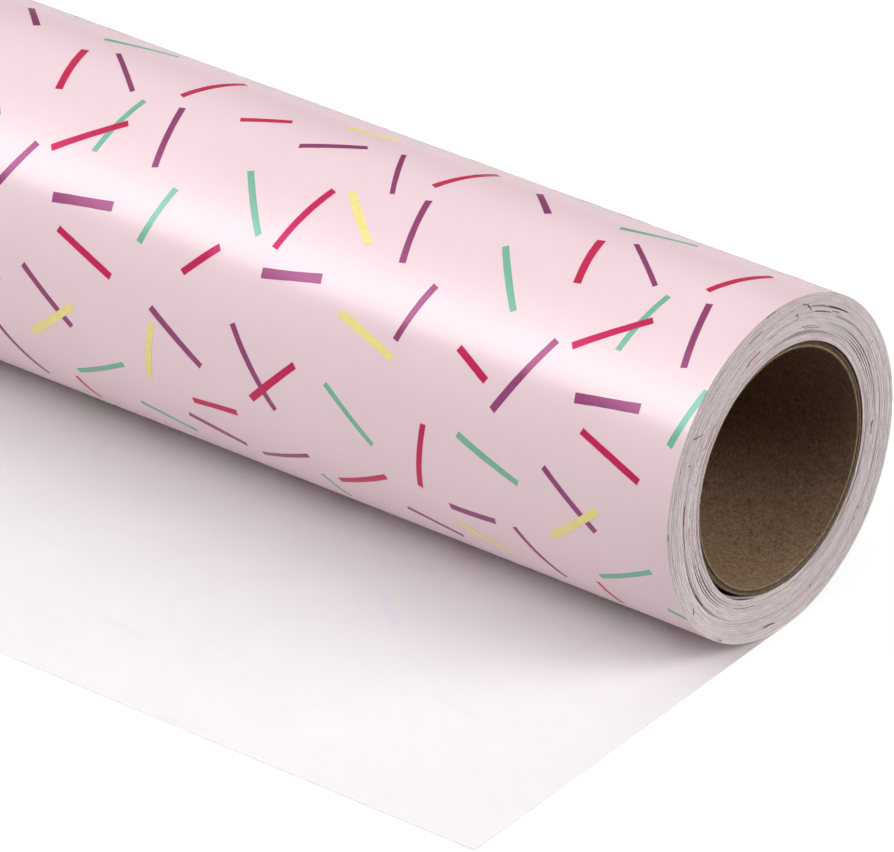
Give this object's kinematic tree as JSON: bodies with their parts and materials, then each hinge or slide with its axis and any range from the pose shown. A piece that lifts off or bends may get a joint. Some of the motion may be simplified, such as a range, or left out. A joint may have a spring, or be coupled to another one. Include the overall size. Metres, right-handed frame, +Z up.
{
  "type": "wrapping paper roll",
  "caption": "Roll of printed wrapping paper on a hollow spiral-wound board core, lying on its side with a short loose end paid out flat across the surface.",
  "frame": {"origin": "on the core's axis at mid-length", "axes": "+X along the roll, the loose end lies towards -Y, +Z up"},
  "size_m": [0.762, 0.1081, 0.0584],
  "materials": {
    "core_board": "matt spiral-wound kraft board",
    "printed_paper": "pale pink pearl paper with a satin sheen",
    "paper_back": "uncoated white back of the paper",
    "ink_crimson": "satin crimson printing ink",
    "ink_plum": "satin plum printing ink",
    "ink_mint": "satin mint printing ink",
    "ink_yellow": "satin pale yellow printing ink"
  },
  "bodies": {
    "paid_out": {"paid_out_sheet": "paper_back"},
    "roll": {"core_inner_ply": "core_board", "core_middle_ply": "core_board", "core_outer_ply": "core_board", "wound_paper": "printed_paper"},
    "free_sheet": {"loose_end": "paper_back"}
  },
  "joints": [
    {"name": "roll_spin", "type": "hinge", "parent": "paid_out", "child": "roll", "pos_m": [0, 0, 0], "axis": [-1, 0, 0], "range_deg": [0, 135]},
    {"name": "pay_out", "type": "slide", "parent": "paid_out", "child": "free_sheet", "axis": [0, -1, 0], "range_m": [0, 0.07]}
  ],
  "couplings": [
    {"joint": "pay_out", "follows": "roll_spin", "m_per_rad": 0.02905}
  ]
}
